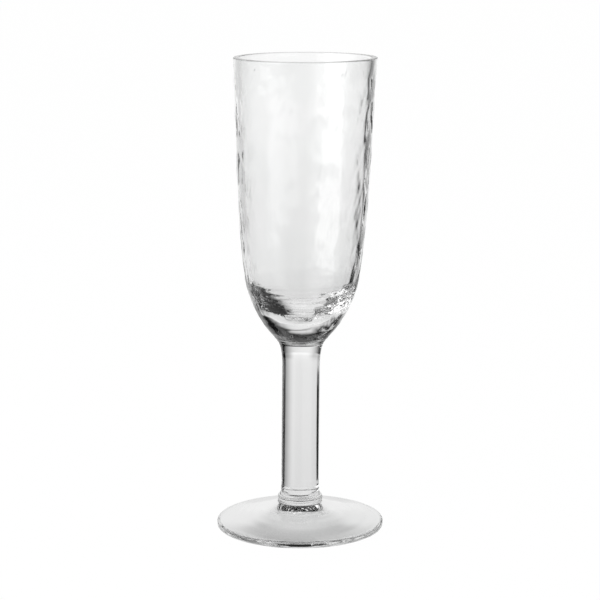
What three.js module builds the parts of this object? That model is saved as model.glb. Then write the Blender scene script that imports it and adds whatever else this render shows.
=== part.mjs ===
// A hand-made champagne glass: a hammered bowl with a heavy base, on a thick solid stem, a
// collar and a shallow foot. Each piece is its own gather of clear glass, and the pieces are
// fused face to face. Millimetres, +Z up. The origin is the middle of the foot, on the
// surface that the glass stands on.

import * as THREE from 'three';

// Foot: a shallow cone with a soft edge, hollow underneath so that it rests on a ring
const FOOT_RADIUS = 35.5;
const FOOT_EDGE = 3.1;
const FOOT_EDGE_ROUND = 0.8;
const EDGE_TOP_WIDTH = 1.6;
const EDGE_TOP_HEIGHT = 0.7;
const FOOT_HEIGHT = 10.9;
const FOOT_SAG = 0.9;
const REST_RING_WIDTH = 1.2;
const UNDERSIDE_RISE = 7;
const UNDERSIDE_FLAT = 11;
const HUB_RADIUS = 9.1;
const HUB_FILLET = 1.3;

// Collar: the button of glass between stem and foot, with a rounded ring at its base
const COLLAR_HEIGHT = 4.4;
const RING_RADIUS = 9.65;
const RING_HEIGHT = 1.5;
const NECK_RADIUS = 8.8;
const NECK_TOP_RADIUS = 8.05;
const NECK_ROUND = 0.3;

// Stem: a solid rod, a little swollen at the collar and flared where it meets the bowl
const STEM_LENGTH = 63.2;
const STEM_RADIUS = 7.9;
const STEM_END_RADIUS = 8;
const SWELL = 0.1;
const SWELL_LENGTH = 3.5;
const FLARE_HEIGHT = 8.8;
const FLARE_ANGLE = 26;
const JOINT_RADIUS = 8.7;

// Bowl: outside curves
const BOWL_HEIGHT = 121.5;
const SHOULDER_RISE = 29.8;
const SHOULDER_RADIUS = 24.3;
const SHOULDER_ANGLE = 9.7;
const RIM_RADIUS = 29.9;
const RIM_ANGLE = 3;

// Bowl: inside, with the wall measured across and the base measured up from the joint
const RIM_WALL = 2.6;
const SHOULDER_WALL = 2.6;
const BASE_THICKNESS = 13.2;
const CAVITY_DROP = 5.4;
const CAVITY_ROUND = 10.3;

// Hammer marks: shallow upright dents in staggered, scattered rows, calmer on the left
const MARKS_AROUND = 34;
const MARK_ROW = 10;
const MARK_DEPTH = 0.22;
const MARK_SCATTER = 0.55;
const MARK_SOFTNESS = 0.36;
const CALM_SHARE = 0.75;
const MARKS_START = 8;
const MARKS_FADE = 7;

// The axis drifts sideways towards the lip, while foot and lip stay level
const LEAN = 2.2;
const LEAN_POWER = 1.4;

// Facets around each piece
const BOWL_FACETS = 82;
const STEM_FACETS = 40;
const FOOT_FACETS = 64;

const COLLAR_BASE = FOOT_HEIGHT;
const STEM_BASE = COLLAR_BASE + COLLAR_HEIGHT;
const JOINT = STEM_BASE + STEM_LENGTH;
const LIP = JOINT + BOWL_HEIGHT;

const clearGlass = (shade) => new THREE.MeshStandardMaterial({
  color: shade,
  roughness: 0.03,
  metalness: 0,
  transparent: true,
  opacity: 0.35,
});

// Outlines are drawn as (radius, height). A heading is measured from straight up, outwards.
const at = (radius, height) => new THREE.Vector2(radius, height);

function heading(degrees) {
  const angle = THREE.MathUtils.degToRad(degrees);
  return at(Math.sin(angle), Math.cos(angle));
}

// A smooth curve that leaves `from` and arrives at `to` on the given headings.
function sweep(from, leaving, leavingReach, to, arriving, arrivingReach) {
  return new THREE.CubicBezierCurve(
    from,
    from.clone().addScaledVector(heading(leaving), leavingReach),
    to.clone().addScaledVector(heading(arriving), -arrivingReach),
    to,
  );
}

// A quarter of an ellipse between two points, upright at the first or at the second.
function quarter(from, to, uprightFirst) {
  const roundness = 0.5523;
  const corner = uprightFirst ? at(from.x, to.y) : at(to.x, from.y);
  return new THREE.CubicBezierCurve(
    from,
    from.clone().lerp(corner, roundness),
    to.clone().lerp(corner, roundness),
    to,
  );
}

// Joins curves and single points into one outline, with `steps` evenly spaced on each curve.
function outline(...stretches) {
  const points = [];
  for (const stretch of stretches) {
    const added = stretch.curve ? stretch.curve.getSpacedPoints(stretch.steps) : [stretch];
    for (const point of added) {
      const last = points[points.length - 1];
      if (!last || last.distanceTo(point) > 1e-6) points.push(point);
    }
  }
  return points;
}

function leanAt(height) {
  const share = Math.max(0, height - COLLAR_BASE) / (LIP - COLLAR_BASE);
  return LEAN * share ** LEAN_POWER;
}

// Turns an outline about the axis, then lets `relief(angle, height, index)` move each
// point of the surface outwards and the lean move it sideways.
function turned(name, points, facets, material, relief = () => 0) {
  const geometry = new THREE.LatheGeometry(points, facets);
  geometry.rotateX(Math.PI / 2);
  const place = geometry.attributes.position;
  for (let i = 0; i < place.count; i += 1) {
    const height = place.getZ(i);
    const angle = Math.atan2(place.getY(i), place.getX(i));
    const outwards = relief(angle, height, i % points.length);
    const x = place.getX(i) + outwards * Math.cos(angle) + leanAt(height);
    const y = place.getY(i) + outwards * Math.sin(angle);
    place.setXY(i, x, y);
  }
  geometry.computeVertexNormals();
  const mesh = new THREE.Mesh(geometry, material);
  mesh.name = name;
  return mesh;
}

function foot() {
  const restOuter = FOOT_RADIUS - FOOT_EDGE_ROUND;
  const restInner = restOuter - REST_RING_WIDTH;
  const hollow = new THREE.CubicBezierCurve(
    at(0, UNDERSIDE_RISE),
    at(UNDERSIDE_FLAT, UNDERSIDE_RISE),
    at(restInner * 0.62, UNDERSIDE_RISE * 0.33),
    at(restInner, 0),
  );
  const underEdge = quarter(at(restOuter, 0), at(FOOT_RADIUS, FOOT_EDGE_ROUND), false);
  const topEdge = at(FOOT_RADIUS - EDGE_TOP_WIDTH, FOOT_EDGE);
  const edgeSlope = -83;
  const overEdge = sweep(
    at(FOOT_RADIUS, FOOT_EDGE - EDGE_TOP_HEIGHT), 0, EDGE_TOP_HEIGHT * 0.55,
    topEdge, edgeSlope, EDGE_TOP_WIDTH * 0.55,
  );
  const hub = at(HUB_RADIUS, FOOT_HEIGHT);
  const filletStart = at(HUB_RADIUS + HUB_FILLET, FOOT_HEIGHT - HUB_FILLET);
  const slope = new THREE.QuadraticBezierCurve(
    topEdge,
    topEdge.clone().lerp(filletStart, 0.5).add(at(0, -FOOT_SAG)),
    filletStart,
  );
  const fillet = new THREE.QuadraticBezierCurve(
    filletStart,
    at(HUB_RADIUS + HUB_FILLET * 0.3, FOOT_HEIGHT - HUB_FILLET * 0.7),
    hub,
  );
  const points = outline(
    { curve: hollow, steps: 7 },
    { curve: underEdge, steps: 3 },
    { curve: overEdge, steps: 3 },
    { curve: slope, steps: 5 },
    { curve: fillet, steps: 3 },
    at(0, FOOT_HEIGHT),
  );
  return turned('foot', points, FOOT_FACETS, clearGlass(0xe4e7e7));
}

function collar() {
  const hub = at(HUB_RADIUS, COLLAR_BASE);
  const ring = at(RING_RADIUS, COLLAR_BASE + RING_HEIGHT * 0.35);
  const neckFoot = at(NECK_RADIUS, COLLAR_BASE + RING_HEIGHT);
  const neckTop = at(NECK_TOP_RADIUS, STEM_BASE - NECK_ROUND);
  const points = outline(
    at(0, COLLAR_BASE),
    { curve: quarter(hub, ring, false), steps: 3 },
    { curve: quarter(ring, neckFoot, true), steps: 4 },
    { curve: quarter(neckTop, at(STEM_END_RADIUS, STEM_BASE), true), steps: 3 },
    at(0, STEM_BASE),
  );
  return turned('foot_collar', points, STEM_FACETS, clearGlass(0xdfe3e3));
}

function stem() {
  const end = at(STEM_END_RADIUS, STEM_BASE);
  const swellTop = at(STEM_RADIUS, STEM_BASE + SWELL_LENGTH);
  const swell = new THREE.CubicBezierCurve(
    end,
    at(STEM_END_RADIUS + SWELL * 2, STEM_BASE + SWELL_LENGTH * 0.2),
    at(STEM_RADIUS, STEM_BASE + SWELL_LENGTH * 0.6),
    swellTop,
  );
  const flareStart = at(STEM_RADIUS, JOINT - FLARE_HEIGHT);
  const joint = at(JOINT_RADIUS, JOINT);
  const flare = sweep(flareStart, 0, FLARE_HEIGHT * 0.6, joint, FLARE_ANGLE, 1);
  const points = outline(
    at(0, STEM_BASE),
    { curve: swell, steps: 5 },
    { curve: new THREE.LineCurve(swellTop, flareStart), steps: 3 },
    { curve: flare, steps: 6 },
    at(0, JOINT),
  );
  return turned('stem', points, STEM_FACETS, clearGlass(0xdfe3e3));
}

// The same scatter of numbers from -0.5 to 0.5 every time, one for each mark and channel.
function scatter(row, column, channel) {
  const wave = Math.sin(row * 12.9898 + column * 78.233 + channel * 37.719) * 43758.5453;
  return wave - Math.floor(wave) - 0.5;
}

// Soft dents, one at each mark, taller than they are wide.
function hammered(angle, height) {
  const across = (angle / (2 * Math.PI) + 1) * MARKS_AROUND;
  const up = height / MARK_ROW;
  let dent = 0;
  for (let row = Math.floor(up) - 2; row <= Math.floor(up) + 3; row += 1) {
    const stagger = (row % 2) / 2;
    for (let step = -2; step <= 3; step += 1) {
      const column = Math.floor(across - stagger) + step;
      const mark = column % MARKS_AROUND;
      const right = column + stagger + MARK_SCATTER * scatter(row, mark, 0) - across;
      const above = row + MARK_SCATTER * scatter(row, mark, 1) - up;
      const share = (right * right + above * above) / (2 * MARK_SOFTNESS ** 2);
      dent += (1 + scatter(row, mark, 2)) * Math.exp(-share);
    }
  }
  return -MARK_DEPTH * dent;
}

// How smooth the wall is: one at the front left and the back left, nought at the sides.
function calm(angle) {
  const sideways = Math.cos(angle);
  const { smoothstep } = THREE.MathUtils;
  return smoothstep(sideways, -0.97, -0.8) * (1 - smoothstep(sideways, -0.1, 0.3));
}

function bowl() {
  const lipRound = RIM_WALL / 2;
  const joint = at(JOINT_RADIUS, JOINT);
  const shoulder = at(SHOULDER_RADIUS, JOINT + SHOULDER_RISE);
  const rim = at(RIM_RADIUS, LIP - lipRound);
  const lipTop = at(RIM_RADIUS - lipRound, LIP);
  const rimInside = at(RIM_RADIUS - RIM_WALL, LIP - lipRound);
  const shoulderInside = at(SHOULDER_RADIUS - SHOULDER_WALL, JOINT + SHOULDER_RISE);
  const cavityFloor = at(0, JOINT + BASE_THICKNESS);

  const wallReach = (rim.y - shoulder.y) * 0.22;
  const underside = sweep(
    joint, FLARE_ANGLE, SHOULDER_RISE * 0.2, shoulder, SHOULDER_ANGLE, SHOULDER_RISE * 0.59,
  );
  const wall = sweep(shoulder, SHOULDER_ANGLE, wallReach, rim, RIM_ANGLE, wallReach);
  const inside = sweep(
    rimInside, RIM_ANGLE + 180, wallReach, shoulderInside, SHOULDER_ANGLE + 180, wallReach,
  );
  const cavityBase = sweep(
    shoulderInside, SHOULDER_ANGLE + 180, CAVITY_DROP, cavityFloor, -90, CAVITY_ROUND,
  );

  const outer = outline(
    at(0, JOINT),
    { curve: underside, steps: 13 },
    { curve: wall, steps: 22 },
  );
  const points = outline(
    ...outer,
    { curve: quarter(rim, lipTop, true), steps: 3 },
    { curve: quarter(lipTop, rimInside, false), steps: 3 },
    { curve: inside, steps: 10 },
    { curve: cavityBase, steps: 8 },
  );
  const relief = (angle, height, index) => {
    if (index >= outer.length) return 0;
    const from = JOINT + MARKS_START;
    const to = LIP - lipRound;
    const fadeIn = THREE.MathUtils.smoothstep(height, from, from + MARKS_FADE);
    const fadeOut = 1 - THREE.MathUtils.smoothstep(height, to - MARKS_FADE, to);
    return fadeIn * fadeOut * (1 - CALM_SHARE * calm(angle)) * hammered(angle, height);
  };
  return turned('bowl', points, BOWL_FACETS, clearGlass(0xe9ecec), relief);
}

const glass = new THREE.Group();
glass.add(foot(), collar(), stem(), bowl());

export default glass;
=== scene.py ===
"""A hand-made champagne glass in soft studio light, on a pale floor that glass sees with painted light and
shade.

Every piece is turned from an outline of (radius, height) in millimetres. MM turns them into metres.
Angles go round the axis from +X, to the right in the photograph, towards +Y, away from the camera.
"""

import math

import bpy
import numpy as np
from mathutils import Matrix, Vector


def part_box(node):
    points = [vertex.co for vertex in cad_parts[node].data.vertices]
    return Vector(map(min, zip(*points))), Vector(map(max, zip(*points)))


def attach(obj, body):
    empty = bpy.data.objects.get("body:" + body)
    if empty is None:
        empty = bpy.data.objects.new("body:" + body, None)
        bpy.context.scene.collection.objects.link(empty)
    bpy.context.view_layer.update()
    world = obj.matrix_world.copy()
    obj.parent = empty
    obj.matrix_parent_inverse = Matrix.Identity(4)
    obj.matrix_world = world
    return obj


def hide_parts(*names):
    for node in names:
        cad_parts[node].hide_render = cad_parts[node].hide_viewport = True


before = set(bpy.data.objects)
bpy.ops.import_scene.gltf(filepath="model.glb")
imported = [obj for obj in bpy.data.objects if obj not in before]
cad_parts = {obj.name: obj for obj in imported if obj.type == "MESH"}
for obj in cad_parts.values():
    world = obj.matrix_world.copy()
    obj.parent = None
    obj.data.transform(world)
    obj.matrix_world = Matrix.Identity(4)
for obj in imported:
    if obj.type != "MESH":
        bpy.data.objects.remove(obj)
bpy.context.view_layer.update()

MM = 0.001
DEGREES = 180 / math.pi

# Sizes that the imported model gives
COLLAR_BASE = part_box("foot")[1][2] / MM
STEM_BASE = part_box("foot_collar")[1][2] / MM
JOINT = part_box("stem")[1][2] / MM
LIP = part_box("bowl")[1][2] / MM
FOOT_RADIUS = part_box("foot")[1][1] / MM

# Foot. Here and below, a bend or reach is a share of the width, height or length that it shapes
FOOT_EDGE = 3.1
FOOT_EDGE_ROUND = 0.8
EDGE_TOP_WIDTH = 2.4
EDGE_TOP_HEIGHT = 1.2
EDGE_TOP_ANGLE = -83
EDGE_TOP_REACH = 0.55
FOOT_SAG = 0.9
REST_RING_WIDTH = 1.2
UNDERSIDE_RISE = 7
UNDERSIDE_FLAT = 11
UNDERSIDE_BEND_OUT = 0.62
UNDERSIDE_BEND_UP = 0.33
HUB_RADIUS = 9.1
HUB_FILLET = 0.7
FILLET_BEND_OUT = 0.3
FILLET_BEND_DOWN = 0.7

# Collar
RING_RADIUS = 9.65
RING_HEIGHT = 2.6
RING_WIDEST = 0.35
NECK_RADIUS = 8.8
NECK_TOP_RADIUS = 8.05
NECK_ROUND = 0.3

# Stem
STEM_RADIUS = 7.97
STEM_END_RADIUS = 8.07
SWELL = 0.2
SWELL_LENGTH = 3.5
SWELL_BEND_LOW = 0.2
SWELL_BEND_HIGH = 0.6
FLARE_HEIGHT = 8.8
FLARE_ANGLE = 20
FLARE_REACH = 0.6
FLARE_END_LENGTH = 1
JOINT_RADIUS = 9

# Bowl
THROAT_RISE = 1.9
THROAT_RADIUS = 9.86
THROAT_ANGLE = 33
THROAT_REACH = 0.37
SHOULDER_RISE = 29.8
SHOULDER_RADIUS = 24.3
SHOULDER_ANGLE = 9.7
SHOULDER_LOW_REACH = 0.13
SHOULDER_HIGH_REACH = 0.59
RIM_RADIUS = 29.9
RIM_ANGLE = 3
RIM_WALL = 2.6
WALL_REACH = 0.22
LIP_ROUND = 0.5
LIP_INNER_ROUND = 0.45
SHOULDER_WALL = 2.6
BASE_THICKNESS = 13.2
CAVITY_DROP = 5.4
CAVITY_ROUND = 10.3

# Hammer marks. CALM_SHARE of their depth is missing where the wall is calm
MARKS_AROUND = 34
MARK_ROW = 10
MARK_DEPTH = 0.24
MARK_SCATTER = 0.55
MARK_SOFTNESS = 0.34
MARKS_START = 8
MARKS_FADE = 7
NEAR_MARKS = range(-2, 4)
CALM_SHARE = 0.75

# The wall is calm between these sideways shares of the radius, and rough beyond
ROUGH_LEFT = -0.9
CALM_LEFT = -0.76
CALM_RIGHT = -0.1
ROUGH_RIGHT = 0.3

# Finer unevenness: depth, waves round the glass, pitch, and the channel that its irregularity uses
WALL_RIPPLES = (0.014, 44, 9, 1)
BASE_RINGS = (0.02, 3, 3, 2)
BASE_STROKES = (0.013, 9, 4, 8)
BASE_RIPPLES = (0.005, 26, 5, 3)
CAVITY_RINGS = (0.05, 1.4, 3.1, 4)
CAVITY_STROKES = (0.03, 4, 5, 9)
FOOT_RIPPLES = (0.012, 2, 6, 5)
COLLAR_RINGS = (0.01, 2, 2.5, 6)
STEM_RINGS = (0.01, 2, 9, 7)
WAVES_MIXED = 9
WAVE_SHIFT = 6.3

# Where unevenness starts, is whole, begins to fade and ends, above the joint or out from the axis,
# and how far from its seams it fades on collar and stem
BASE_UNEVEN = (1, 4, 24, 34)
FOOT_UNEVEN = (11, 15, 31, 33)
CAVITY_RINGS_START = (1, 5)
CAVITY_STROKES_START = (0.5, 3)
COLLAR_FADE = 1
STEM_FADE = 3

# Rings that the tool left where the bowl was joined
TOOL_RING_DEPTH = 0.045
TOOL_RING_PITCH = 1.4
TOOL_RINGS_START = 2
TOOL_RINGS_END = 4.2
TOOL_RINGS_FADE_IN = 0.5
TOOL_RINGS_FADE_OUT = 0.3

# Steps and scale of the sine that stands in for chance
CHANCE_STEPS = (12.9898, 78.233, 37.719)
CHANCE_SCALE = 43758.5453

# The glass itself: cords are streaks of slightly different glass, seeds are tiny bubbles
GLASS_INDEX = 1.5
CLEAR = (1, 1, 1, 1)
TINTED = (0.985, 0.99, 0.988, 1)
CORD_SCALE = 30
CORD_DETAIL = 2
CORD_RANGE = (0.35, 0.65)
POLISH_SCALE = 90
POLISH_DETAIL = 3
POLISH_RANGE = (0.45, 0.75)
POLISH_ROUGHNESS = 0.008
WAVINESS_SCALE = 120
WAVINESS_DETAIL = 2
WAVINESS_SHARE = 0.08
SEED_SCALE = 110
SEED_SIZE = 0.06
SEED_RARITY = 0.93
SEED_HEIGHT = 0.0002
FUSED_SEAM = "fused_seam"

# The axis drifts sideways towards the lip
LEAN = 2.2
LEAN_POWER = 1.4

# Mesh fineness: points around, and the spacing of points along an outline, from long to small rounds
SEGMENTS = 480
SPACING = 0.4
BEND_SPACING = 0.2
EDGE_SPACING = 0.15
ROUND_SPACING = 0.12
SMALL_SPACING = 0.1
CURVE_SAMPLES = 1001
ELLIPSE_REACH = 0.5523
TOUCHING = 1e-6

# Camera: lens and sensor in millimetres, place in metres, tilt in radians
LENS = 123
SENSOR = 36
CAMERA_PLACE = (0, -0.84838, 0.26231)
CAMERA_DOWN = 0.191338

# Studio, where white is one. A sector is its middle, the half width where it is whole, and its fade,
# in degrees round the glass. A rise is in degrees above it, and a reach in metres from it
BOUNCES = 64
WHITE = (1, 1, 1, 1)
BACKDROP = (5, 8, 48)
BACKDROP_RISE = (27, 40)
BACKDROP_LEVEL = 0.88
HAZE = (120, 36, 8)
HAZE_RISE = (5, 22)
HAZE_LEVEL = 0.75
ROOM_LEVEL = 0.008

# Table as glass sees it: a glow of painted light, with painted shade in sectors. A depth is the share of
# that painted light which a sector lacks. OUTSIDE is in shares of the foot's radius, and TABLE_ROOT is the
# square root of the distance from which the painted light is even
FLOOR_RADIUS = 8
FLOOR_SIDES = 64
FLOOR_HEIGHT = -0.0004
FLOOR_COLOUR = (0.9, 0.9, 0.9, 1)
# Painted light: the table glows dimmer near the glass than far out, and a little brighter under the foot
TABLE_NEAR = 0.69
TABLE_FAR = 1.03
TABLE_ROOT = 1.3
UNDER_FOOT = 1.06
UNDER_FOOT_REACH = (0.03, 0.06)
OUTSIDE = (1.05, 1.35)
# Painted light: far out, the table is dimmer except behind the glass and at its front right
BACK_GLOW = (0, 10, 22)
FRONT_GLOW = (-138, 20, 22)
GLOW_REACH = (0.35, 0.8)
GLOW_DEPTH = 0.34
# Painted shade on the table in front of the glass, from close to it outwards
FRONT = (167, 12, 22)
FRONT_REACH = (0.015, 0.07)
FRONT_DEPTH = 0.95
# Painted shade at the front, from under the foot outwards
UNDER_FRONT = (180, 60, 30)
UNDER_FRONT_REACH = (0.008, 0.02)
UNDER_FRONT_DEPTH = 0.2
# Painted shade on the table at the back right, outside the foot
SHADE = (-60, 15, 33)
SHADE_DEPTH = 0.66
# Painted shade at the right, outside the foot, dark where a black flag would stand
RIGHT_PAINTED_SHADE = (-76, 31, 5)
RIGHT_PAINTED_SHADE_DEPTH = 0.99
# Painted shade at the back left, dark where a black flag would stand, and fainter far out
LEFT_PAINTED_SHADE = (61, 11, 5)
LEFT_PAINTED_SHADE_REACH = (0.05, 0.065)
LEFT_PAINTED_SHADE_END = (0.26, 0.34)
LEFT_PAINTED_SHADE_DEPTH = 0.98
LEFT_PAINTED_SHADE_FAR_DEPTH = 0.2

# What the camera sees of the table: plain white, and a share of real light that carries the shadow
CAMERA_WHITE = 1.1
SHADOW_SHARE = 0.1

# Softbox
SOFTBOX_TURN = 122
SOFTBOX_AWAY = 1.3
SOFTBOX_WIDTH = 1.1
SOFTBOX_HEIGHT = 0.9
SOFTBOX_BASE = 0.02
SOFTBOX_LEVEL = 1.15


def point(radius, height):
    return np.array([radius, height], float)


def heading(degrees):
    """A direction in an outline, measured from straight up, outwards."""
    angle = math.radians(degrees)
    return point(math.sin(angle), math.cos(angle))


def curve(*controls, spacing=SPACING):
    """Evenly spaced points along the Bezier curve with these control points."""

    def along(share):
        work = [control[None, :] for control in controls]
        while len(work) > 1:
            work = [a + (b - a) * share[:, None] for a, b in zip(work, work[1:])]
        return work[0]

    fine = np.linspace(0, 1, CURVE_SAMPLES)
    steps = np.linalg.norm(np.diff(along(fine), axis=0), axis=1)
    run = np.concatenate([[0], np.cumsum(steps)])
    count = max(2, math.ceil(run[-1] / spacing))
    return along(np.interp(np.linspace(0, run[-1], count + 1), run, fine))


def sweep(start, leaving, leaving_length, end, arriving, arriving_length, spacing=SPACING):
    """A smooth curve that leaves `start` and arrives at `end` on the given headings."""
    out = start + heading(leaving) * leaving_length
    back = end - heading(arriving) * arriving_length
    return curve(start, out, back, end, spacing=spacing)


def quarter(start, end, upright_first, spacing):
    """A quarter of an ellipse between two points, upright at the first or at the second."""
    corner = point(start[0], end[1]) if upright_first else point(end[0], start[1])
    out = start + (corner - start) * ELLIPSE_REACH
    back = end + (corner - end) * ELLIPSE_REACH
    return curve(start, out, back, end, spacing=spacing)


def outline(*stretches):
    """Joins curves and single points, and leaves out a point that repeats the last one."""
    points = np.vstack(stretches)
    apart = np.linalg.norm(np.diff(points, axis=0), axis=1) > TOUCHING
    return points[np.concatenate([[True], apart])]


def lean_at(height):
    """How far the axis has drifted sideways at a height."""
    share = np.maximum(0, height - COLLAR_BASE) / (LIP - COLLAR_BASE)
    return LEAN * share ** LEAN_POWER


def smoothstep(value, low, high):
    """Goes smoothly from nought to one while the value goes from low to high."""
    share = np.clip((value - low) / (high - low), 0, 1)
    return share * share * (3 - 2 * share)


def window(value, start, whole, leaving, end):
    """Goes from nought to one between the first two values, and back between the last two."""
    return smoothstep(value, start, whole) * (1 - smoothstep(value, leaving, end))


def turned(name, points, seams, relief, inside_from=None):
    """Turns an outline that starts and ends on the axis.

    `relief(angle, height, radius, inside)` moves the surface outwards, in millimetres, where `inside`
    says that a ring comes after the outline's point number `inside_from`. `seams` says whether the
    first and the last disc lie inside the glass, fused to a neighbour.
    """
    rings = points[1:-1]
    count = len(rings)
    slope = np.gradient(points, axis=0)[1:-1]
    outwards = np.stack([slope[:, 1], -slope[:, 0]], axis=-1)
    outwards /= np.linalg.norm(outwards, axis=1, keepdims=True)
    angles = np.arange(SEGMENTS) * 2 * math.pi / SEGMENTS
    inside = np.arange(count) >= (count if inside_from is None else inside_from - 1)
    moved = relief(angles[None, :], rings[:, 1:], rings[:, :1], inside[:, None])
    radius = rings[:, :1] + outwards[:, :1] * moved
    height = rings[:, 1:] + outwards[:, 1:] * moved
    x = radius * np.cos(angles) + lean_at(height)
    y = radius * np.sin(angles)
    grid = np.stack([x, y, height], axis=-1).reshape(-1, 3)
    poles = [[lean_at(z), 0, z] for z in (points[0, 1], points[-1, 1])]
    vertices = np.vstack([grid, poles]) * MM

    column = np.arange(SEGMENTS)
    beside = (column + 1) % SEGMENTS
    ring = np.arange(count - 1)[:, None] * SEGMENTS
    above_ring = ring + SEGMENTS
    quads = np.stack([ring + column, ring + beside, above_ring + beside, above_ring + column], axis=-1)
    first_pole = len(grid)
    last_pole = first_pole + 1
    last = (count - 1) * SEGMENTS
    below = [(first_pole, b, a) for a, b in zip(column.tolist(), beside.tolist())]
    above = [(last + a, last + b, last_pole) for a, b in zip(column.tolist(), beside.tolist())]

    mesh = bpy.data.meshes.new(name)
    mesh.from_pydata(vertices.tolist(), [], below + quads.reshape(-1, 4).tolist() + above)
    mesh.shade_smooth()

    slots = np.zeros(len(mesh.polygons), int)
    edges = np.empty(len(mesh.edges) * 2, int)
    mesh.edges.foreach_get("vertices", edges)
    edges = edges.reshape(-1, 2)
    sharp = np.zeros(len(edges), bool)
    if seams[0]:
        slots[:SEGMENTS] = 1
        sharp |= (edges < SEGMENTS).all(axis=1)
    if seams[1]:
        slots[-SEGMENTS:] = 1
        sharp |= ((edges >= last) & (edges < first_pole)).all(axis=1)
    mesh.polygons.foreach_set("material_index", slots)
    edge_marks = mesh.attributes.new("sharp_edge", "BOOLEAN", "EDGE")
    edge_marks.data.foreach_set("value", sharp)
    mesh.update()

    piece = bpy.data.objects.new(name, mesh)
    bpy.context.scene.collection.objects.link(piece)
    return piece


def foot():
    """The outline, from the hollow underside over the edge to the collar's seam."""
    rest_outer = FOOT_RADIUS - FOOT_EDGE_ROUND
    rest_inner = rest_outer - REST_RING_WIDTH
    hollow_top = point(0, UNDERSIDE_RISE)
    hollow_edge = point(UNDERSIDE_FLAT, UNDERSIDE_RISE)
    hollow_bend = point(rest_inner * UNDERSIDE_BEND_OUT, UNDERSIDE_RISE * UNDERSIDE_BEND_UP)
    rest_start = point(rest_inner, 0)
    rest_end = point(rest_outer, 0)
    edge_low = point(FOOT_RADIUS, FOOT_EDGE_ROUND)
    edge_high = point(FOOT_RADIUS, FOOT_EDGE - EDGE_TOP_HEIGHT)
    over_edge = point(FOOT_RADIUS - EDGE_TOP_WIDTH, FOOT_EDGE)
    up = EDGE_TOP_HEIGHT * EDGE_TOP_REACH
    across = EDGE_TOP_WIDTH * EDGE_TOP_REACH
    hub = point(HUB_RADIUS, COLLAR_BASE)
    fillet = point(HUB_RADIUS + HUB_FILLET, COLLAR_BASE - HUB_FILLET)
    bend_radius = HUB_RADIUS + HUB_FILLET * FILLET_BEND_OUT
    fillet_bend = point(bend_radius, COLLAR_BASE - HUB_FILLET * FILLET_BEND_DOWN)
    sag = (over_edge + fillet) / 2 - point(0, FOOT_SAG)
    return outline(
        curve(hollow_top, hollow_edge, hollow_bend, rest_start),
        curve(rest_start, rest_end),
        quarter(rest_end, edge_low, False, EDGE_SPACING),
        sweep(edge_high, 0, up, over_edge, EDGE_TOP_ANGLE, across, EDGE_SPACING),
        curve(over_edge, sag, fillet),
        curve(fillet, fillet_bend, hub, spacing=ROUND_SPACING),
        point(0, COLLAR_BASE),
    )


def collar():
    """The outline, from the foot over the ring and up the neck to the stem."""
    hub = point(HUB_RADIUS, COLLAR_BASE)
    ring = point(RING_RADIUS, COLLAR_BASE + RING_HEIGHT * RING_WIDEST)
    neck_foot = point(NECK_RADIUS, COLLAR_BASE + RING_HEIGHT)
    neck_top = point(NECK_TOP_RADIUS, STEM_BASE - NECK_ROUND)
    return outline(
        point(0, COLLAR_BASE),
        quarter(hub, ring, False, SMALL_SPACING),
        quarter(ring, neck_foot, True, ROUND_SPACING),
        curve(neck_foot, neck_top, spacing=BEND_SPACING),
        quarter(neck_top, point(STEM_END_RADIUS, STEM_BASE), True, SMALL_SPACING),
        point(0, STEM_BASE),
    )


def stem():
    """The outline, from the collar up the rod to the flare under the bowl."""
    end = point(STEM_END_RADIUS, STEM_BASE)
    swell_low = point(STEM_END_RADIUS + SWELL, STEM_BASE + SWELL_LENGTH * SWELL_BEND_LOW)
    swell_high = point(STEM_RADIUS, STEM_BASE + SWELL_LENGTH * SWELL_BEND_HIGH)
    swell_top = point(STEM_RADIUS, STEM_BASE + SWELL_LENGTH)
    flare_start = point(STEM_RADIUS, JOINT - FLARE_HEIGHT)
    joint = point(JOINT_RADIUS, JOINT)
    return outline(
        point(0, STEM_BASE),
        curve(end, swell_low, swell_high, swell_top),
        curve(swell_top, flare_start),
        sweep(flare_start, 0, FLARE_HEIGHT * FLARE_REACH, joint, FLARE_ANGLE, FLARE_END_LENGTH),
        point(0, JOINT),
    )


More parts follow.
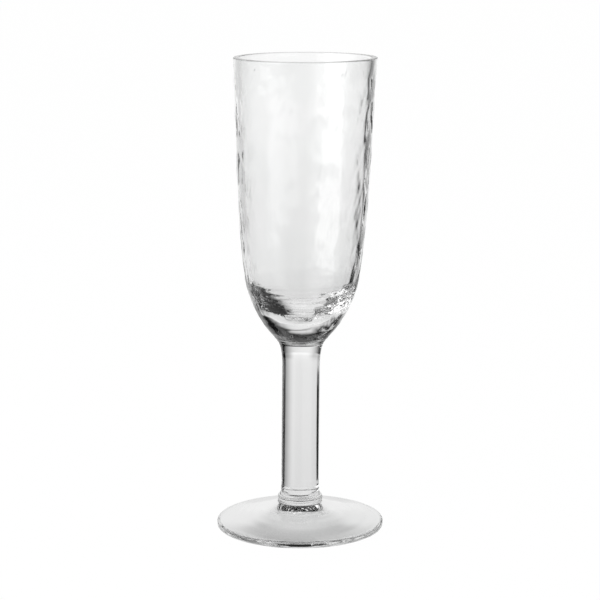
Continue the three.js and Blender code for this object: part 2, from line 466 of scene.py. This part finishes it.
def bowl():
    """The outline, from the joint over the lip to the cavity's floor, and where its inside begins."""
    joint = point(JOINT_RADIUS, JOINT)
    throat = point(THROAT_RADIUS, JOINT + THROAT_RISE)
    shoulder = point(SHOULDER_RADIUS, JOINT + SHOULDER_RISE)
    rim = point(RIM_RADIUS, LIP - LIP_ROUND)
    lip_top = point(RIM_RADIUS - LIP_ROUND, LIP)
    lip_inner = point(RIM_RADIUS - RIM_WALL + LIP_INNER_ROUND, LIP)
    rim_inside = point(RIM_RADIUS - RIM_WALL, LIP - LIP_INNER_ROUND)
    shoulder_inside = point(SHOULDER_RADIUS - SHOULDER_WALL, JOINT + SHOULDER_RISE)
    cavity_floor = point(0, JOINT + BASE_THICKNESS)
    bend = THROAT_RISE * THROAT_REACH
    low = SHOULDER_RISE * SHOULDER_LOW_REACH
    high = SHOULDER_RISE * SHOULDER_HIGH_REACH
    wall = (rim[1] - shoulder[1]) * WALL_REACH
    rim_down = RIM_ANGLE + 180
    shoulder_down = SHOULDER_ANGLE + 180
    inwards = -90

    outer = outline(
        point(0, JOINT),
        sweep(joint, FLARE_ANGLE, bend, throat, THROAT_ANGLE, bend, EDGE_SPACING),
        sweep(throat, THROAT_ANGLE, low, shoulder, SHOULDER_ANGLE, high, BEND_SPACING),
        sweep(shoulder, SHOULDER_ANGLE, wall, rim, RIM_ANGLE, wall),
    )
    whole = outline(
        outer,
        quarter(rim, lip_top, True, ROUND_SPACING),
        curve(lip_top, lip_inner),
        quarter(lip_inner, rim_inside, False, ROUND_SPACING),
        sweep(rim_inside, rim_down, wall, shoulder_inside, shoulder_down, wall),
        sweep(shoulder_inside, shoulder_down, CAVITY_DROP, cavity_floor, inwards, CAVITY_ROUND),
    )
    return whole, len(outer)


def scatter(row, column, channel):
    """The same numbers from -0.5 to 0.5 every time, one for each mark and channel."""
    row_step, column_step, channel_step = CHANCE_STEPS
    wave = np.sin(row * row_step + column * column_step + channel * channel_step) * CHANCE_SCALE
    return wave - np.floor(wave) - 0.5


def waves(angle, along, depth, around, pitch, channel):
    """Gentle irregular waves of about this depth: `around` of them go round, and one per `pitch`."""
    mixed = 0
    for wave in range(WAVES_MIXED):
        turns = round(around * (1 + scatter(wave, channel, 0)))
        rise = (1 + scatter(wave, channel, 1)) * 2 * math.pi / pitch
        tilt = 1 if scatter(wave, channel, 2) > 0 else -1
        shift = WAVE_SHIFT * scatter(wave, channel, 3)
        mixed = mixed + np.sin(turns * angle + tilt * rise * along + shift)
    return depth * (mixed / math.sqrt(WAVES_MIXED))


def hammered(angle, height):
    """Soft dents round scattered marks in staggered rows."""
    across, up = np.broadcast_arrays((angle / (2 * math.pi) + 1) * MARKS_AROUND, height / MARK_ROW)
    dent = np.zeros(across.shape)
    for row_step in NEAR_MARKS:
        row = np.floor(up) + row_step
        stagger = np.mod(row, 2) / 2
        for step in NEAR_MARKS:
            column = np.floor(across - stagger) + step
            mark = np.mod(column, MARKS_AROUND)
            right = column + stagger + MARK_SCATTER * scatter(row, mark, 0) - across
            above = row + MARK_SCATTER * scatter(row, mark, 1) - up
            depth = 1 + scatter(row, mark, 2)
            dent += depth * np.exp(-(right * right + above * above) / (2 * MARK_SOFTNESS ** 2))
    return -MARK_DEPTH * dent


def calm(angle):
    """How smooth the wall is: one at the front left and the back left, nought at the sides."""
    return window(np.cos(angle), ROUGH_LEFT, CALM_LEFT, CALM_RIGHT, ROUGH_RIGHT)


def tool_rings(height):
    """Rings round the throat, just above the joint."""
    start = JOINT + TOOL_RINGS_START
    end = JOINT + TOOL_RINGS_END
    first = start - TOOL_RINGS_FADE_IN
    fade = window(height, first, start, end - TOOL_RINGS_FADE_OUT, end + TOOL_RINGS_FADE_OUT)
    return TOOL_RING_DEPTH * np.sin((height - start) * 2 * math.pi / TOOL_RING_PITCH) * fade


def bowl_relief(angle, height, radius, inside):
    """Hammer marks on the wall, rings and strokes in the base outside and on the cavity's floor."""
    start = JOINT + MARKS_START
    end = LIP - RIM_WALL / 2
    fade = window(height, start, start + MARKS_FADE, end - MARKS_FADE, end)
    marks = hammered(angle, height) + waves(angle, height, *WALL_RIPPLES)
    base = window(height, *[JOINT + rise for rise in BASE_UNEVEN])
    rings = waves(angle, height, *BASE_RINGS) * base
    rings += waves(angle, height, *BASE_STROKES) * base
    fine = waves(angle, height, *BASE_RIPPLES) * base
    outer = fade * marks * (1 - CALM_SHARE * calm(angle)) + rings + fine + tool_rings(height)
    cavity = waves(angle, height, *CAVITY_RINGS) * base * smoothstep(radius, *CAVITY_RINGS_START)
    cavity += waves(angle, radius, *CAVITY_STROKES) * base * smoothstep(radius, *CAVITY_STROKES_START)
    return np.where(inside, cavity, outer)


def foot_relief(angle, height, radius, inside):
    """Ripples from spinning, on the top and the underside, none on the edge or the resting ring."""
    return waves(angle, radius, *FOOT_RIPPLES) * window(radius, *FOOT_UNEVEN)


def collar_relief(angle, height, radius, inside):
    """Faint turning rings, none at the seams."""
    free = window(height, COLLAR_BASE, COLLAR_BASE + COLLAR_FADE, STEM_BASE - COLLAR_FADE, STEM_BASE)
    return waves(angle, height, *COLLAR_RINGS) * free


def stem_relief(angle, height, radius, inside):
    """Faint waves along the rod, none at the seams."""
    free = window(height, STEM_BASE, STEM_BASE + STEM_FADE, JOINT - STEM_FADE, JOINT)
    return waves(angle, height, *STEM_RINGS) * free


def feed(tree, socket, value):
    """Sets a socket to a number, or links it to another node's value."""
    if isinstance(value, bpy.types.NodeSocket):
        tree.links.new(value, socket)
    else:
        socket.default_value = value


def maths(tree, operation, *values):
    """A Math node on numbers or on other nodes' values."""
    step = tree.nodes.new("ShaderNodeMath")
    step.operation = operation
    for socket, value in zip(step.inputs, values):
        feed(tree, socket, value)
    return step.outputs["Value"]


def ease(tree, value, low, high, low_level, high_level, shape="SMOOTHSTEP"):
    """Goes smoothly from one level to another while the value goes from low to high."""
    step = tree.nodes.new("ShaderNodeMapRange")
    step.interpolation_type = shape
    feed(tree, step.inputs["Value"], value)
    feed(tree, step.inputs["From Min"], low)
    feed(tree, step.inputs["From Max"], high)
    feed(tree, step.inputs["To Min"], low_level)
    feed(tree, step.inputs["To Max"], high_level)
    return step.outputs["Result"]


def noise(tree, where, scale, detail):
    """A soft pattern from nought to one."""
    step = tree.nodes.new("ShaderNodeTexNoise")
    tree.links.new(where, step.inputs["Vector"])
    step.inputs["Scale"].default_value = scale
    step.inputs["Detail"].default_value = detail
    return step.outputs["Fac"]


def glass(name):
    """Clear glass with a breath of tint, cords, tiny seeds and a faintly uneven polish."""
    material = bpy.data.materials.new(name)
    material.use_nodes = True
    tree = material.node_tree
    shader = tree.nodes["Principled BSDF"]
    shader.inputs["Transmission Weight"].default_value = 1
    shader.inputs["IOR"].default_value = GLASS_INDEX
    where = tree.nodes.new("ShaderNodeTexCoord").outputs["Object"]

    cords = ease(tree, noise(tree, where, CORD_SCALE, CORD_DETAIL), *CORD_RANGE, 0, 1)
    tint = tree.nodes.new("ShaderNodeMix")
    tint.data_type = "RGBA"
    tree.links.new(cords, tint.inputs["Factor"])
    tint.inputs["A"].default_value = CLEAR
    tint.inputs["B"].default_value = TINTED
    tree.links.new(tint.outputs["Result"], shader.inputs["Base Color"])

    uneven_polish = noise(tree, where, POLISH_SCALE, POLISH_DETAIL)
    polish = ease(tree, uneven_polish, *POLISH_RANGE, 0, POLISH_ROUGHNESS)
    tree.links.new(polish, shader.inputs["Roughness"])

    cells = tree.nodes.new("ShaderNodeTexVoronoi")
    cells.inputs["Scale"].default_value = SEED_SCALE
    tree.links.new(where, cells.inputs["Vector"])
    pick = tree.nodes.new("ShaderNodeSeparateColor")
    tree.links.new(cells.outputs["Color"], pick.inputs["Color"])
    rare = maths(tree, "GREATER_THAN", pick.outputs["Red"], SEED_RARITY)
    seeds = maths(tree, "MULTIPLY", ease(tree, cells.outputs["Distance"], 0, SEED_SIZE, 1, 0), rare)
    swirls = noise(tree, where, WAVINESS_SCALE, WAVINESS_DETAIL)
    waviness = maths(tree, "MULTIPLY", swirls, WAVINESS_SHARE)
    bump = tree.nodes.new("ShaderNodeBump")
    bump.inputs["Strength"].default_value = 1
    bump.inputs["Distance"].default_value = SEED_HEIGHT
    tree.links.new(maths(tree, "ADD", seeds, waviness), bump.inputs["Height"])
    tree.links.new(bump.outputs["Normal"], shader.inputs["Normal"])
    return material


def fused_glass():
    """The inside of a seam, where two pieces of glass are one: nothing shows there."""
    material = bpy.data.materials.new(FUSED_SEAM)
    material.use_nodes = True
    material.node_tree.nodes["Principled BSDF"].inputs["Alpha"].default_value = 0


def place(node, slot, points, seams, relief, inside_from=None):
    """Turns a piece, gives it its glass and puts it in its node's place."""
    piece = turned("glass_" + node, points, seams, relief, inside_from)
    piece.data.materials.append(glass(slot))
    piece.data.materials.append(bpy.data.materials[FUSED_SEAM])
    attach(piece, "root")
    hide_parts(node)


def camera():
    """The photograph's viewing angle."""
    data = bpy.data.cameras.new("camera")
    data.lens = LENS
    data.sensor_width = SENSOR
    shot = bpy.data.objects.new("camera", data)
    shot.location = CAMERA_PLACE
    shot.rotation_euler = (math.pi / 2 - CAMERA_DOWN, 0, 0)
    bpy.context.scene.collection.objects.link(shot)
    bpy.context.scene.camera = shot


def split(tree, vector):
    """The three parts of a vector."""
    parts = tree.nodes.new("ShaderNodeSeparateXYZ")
    tree.links.new(vector, parts.inputs["Vector"])
    return parts.outputs


def azimuth(tree, x, y):
    """Degrees round the glass: nought behind it, positive to its left, negative to its right."""
    turn = maths(tree, "ARCTAN2", maths(tree, "MULTIPLY", x, -1), y)
    return maths(tree, "MULTIPLY", turn, DEGREES)


def sector(tree, angle, centre, full, fade):
    """One within `full` degrees of the centre, fading to nought over the next `fade` degrees."""
    off = maths(tree, "ABSOLUTE", maths(tree, "WRAP", maths(tree, "SUBTRACT", angle, centre), 180, -180))
    return ease(tree, off, full, full + fade, 1, 0)


def studio():
    """White to the camera. Glass sees a bright backdrop behind it and a dark room elsewhere."""
    scene = bpy.context.scene
    scene.view_settings.view_transform = "Standard"
    scene.cycles.max_bounces = BOUNCES
    scene.cycles.transmission_bounces = BOUNCES
    scene.cycles.glossy_bounces = BOUNCES
    scene.world = bpy.data.worlds.new("studio")
    scene.world.use_nodes = True
    tree = scene.world.node_tree
    x, y, z = split(tree, tree.nodes.new("ShaderNodeTexCoord").outputs["Generated"])
    angle = azimuth(tree, x, y)
    rise = maths(tree, "MULTIPLY", maths(tree, "ARCSINE", z), DEGREES)
    level = tree.nodes.new("ShaderNodeLightPath").outputs["Is Camera Ray"]
    lit = ((BACKDROP, BACKDROP_RISE, BACKDROP_LEVEL), (HAZE, HAZE_RISE, HAZE_LEVEL))
    for area, fading, brightness in lit:
        part = maths(tree, "MULTIPLY", sector(tree, angle, *area), ease(tree, rise, *fading, brightness, 0))
        level = maths(tree, "MAXIMUM", level, part)
    background = tree.nodes["Background"]
    background.inputs["Color"].default_value = WHITE
    tree.links.new(maths(tree, "MAXIMUM", level, ROOM_LEVEL), background.inputs["Strength"])


def painted_table_light(tree):
    """Painted light that glass sees on the table: dimmer near the middle, with painted shade in areas round
    it.
    """
    x, y = split(tree, tree.nodes.new("ShaderNodeNewGeometry").outputs["Position"])[:2]
    angle = azimuth(tree, x, y)
    squares = maths(tree, "ADD", maths(tree, "MULTIPLY", x, x), maths(tree, "MULTIPLY", y, y))
    away = maths(tree, "SQRT", squares)
    outside = [FOOT_RADIUS * MM * share for share in OUTSIDE]
    glow = maths(tree, "MAXIMUM", sector(tree, angle, *BACK_GLOW), sector(tree, angle, *FRONT_GLOW))
    left_depth = ease(tree, away, *LEFT_PAINTED_SHADE_END, LEFT_PAINTED_SHADE_DEPTH, LEFT_PAINTED_SHADE_FAR_DEPTH)
    darker = (
        (maths(tree, "SUBTRACT", 1, glow), GLOW_REACH, GLOW_DEPTH),
        (sector(tree, angle, *FRONT), FRONT_REACH, FRONT_DEPTH),
        (sector(tree, angle, *SHADE), outside, SHADE_DEPTH),
        (sector(tree, angle, *RIGHT_PAINTED_SHADE), outside, RIGHT_PAINTED_SHADE_DEPTH),
        (sector(tree, angle, *LEFT_PAINTED_SHADE), LEFT_PAINTED_SHADE_REACH, left_depth),
        (sector(tree, angle, *UNDER_FRONT), UNDER_FRONT_REACH, UNDER_FRONT_DEPTH),
    )
    spread = ease(tree, maths(tree, "SQRT", away), 0, TABLE_ROOT, TABLE_NEAR, TABLE_FAR, "LINEAR")
    level = maths(tree, "MULTIPLY", spread, ease(tree, away, *UNDER_FOOT_REACH, UNDER_FOOT, 1))
    for area, reach, depth in darker:
        part = maths(tree, "MULTIPLY", area, ease(tree, away, *reach, 0, 1))
        left = maths(tree, "SUBTRACT", 1, maths(tree, "MULTIPLY", part, depth))
        level = maths(tree, "MULTIPLY", level, left)
    return level


def floor():
    """A pale table. The camera sees it white with a faint shadow; glass sees it glow with painted light and
    shade.
    """
    mesh = bpy.data.meshes.new("floor")
    turns = [2 * math.pi * step / FLOOR_SIDES for step in range(FLOOR_SIDES)]
    corners = [(FLOOR_RADIUS * math.cos(turn), FLOOR_RADIUS * math.sin(turn), FLOOR_HEIGHT) for turn in turns]
    mesh.from_pydata(corners, [], [tuple(range(FLOOR_SIDES))])
    table = bpy.data.objects.new("floor", mesh)
    bpy.context.scene.collection.objects.link(table)
    material = bpy.data.materials.new("pale_table")
    material.use_nodes = True
    mesh.materials.append(material)
    tree = material.node_tree
    tree.nodes.clear()
    seen = tree.nodes.new("ShaderNodeLightPath").outputs["Is Camera Ray"]
    white = maths(tree, "MULTIPLY", seen, CAMERA_WHITE)
    shine = tree.nodes.new("ShaderNodeEmission")
    # Glass sees the table's painted light and painted shade; the camera sees white
    tree.links.new(maths(tree, "MAXIMUM", painted_table_light(tree), white), shine.inputs["Strength"])
    matt = tree.nodes.new("ShaderNodeBsdfDiffuse")
    matt.inputs["Color"].default_value = FLOOR_COLOUR
    blend = tree.nodes.new("ShaderNodeMixShader")
    tree.links.new(maths(tree, "MULTIPLY", seen, SHADOW_SHARE), blend.inputs["Fac"])
    tree.links.new(shine.outputs["Emission"], blend.inputs[1])
    tree.links.new(matt.outputs["BSDF"], blend.inputs[2])
    surface = tree.nodes.new("ShaderNodeOutputMaterial")
    tree.links.new(blend.outputs["Shader"], surface.inputs["Surface"])


def softbox():
    """A big soft lamp at the front left, from the table up."""
    data = bpy.data.lights.new("softbox", "AREA")
    data.shape = "RECTANGLE"
    data.size = SOFTBOX_WIDTH
    data.size_y = SOFTBOX_HEIGHT
    data.energy = SOFTBOX_LEVEL * math.pi * SOFTBOX_WIDTH * SOFTBOX_HEIGHT
    lamp = bpy.data.objects.new("softbox", data)
    turn = math.radians(SOFTBOX_TURN)
    middle = SOFTBOX_HEIGHT / 2 + SOFTBOX_BASE
    lamp.location = (-SOFTBOX_AWAY * math.sin(turn), SOFTBOX_AWAY * math.cos(turn), middle)
    lamp.rotation_euler = (math.pi / 2, 0, turn + math.pi)
    lamp.visible_camera = False
    bpy.context.scene.collection.objects.link(lamp)


camera()
fused_glass()
place("foot", "foot_glass", foot(), (False, True), foot_relief)
place("foot_collar", "collar_glass", collar(), (True, True), collar_relief)
place("stem", "stem_glass", stem(), (True, True), stem_relief)
bowl_points, inside_from = bowl()
place("bowl", "bowl_glass", bowl_points, (True, False), bowl_relief, inside_from)

studio()
floor()
softbox()
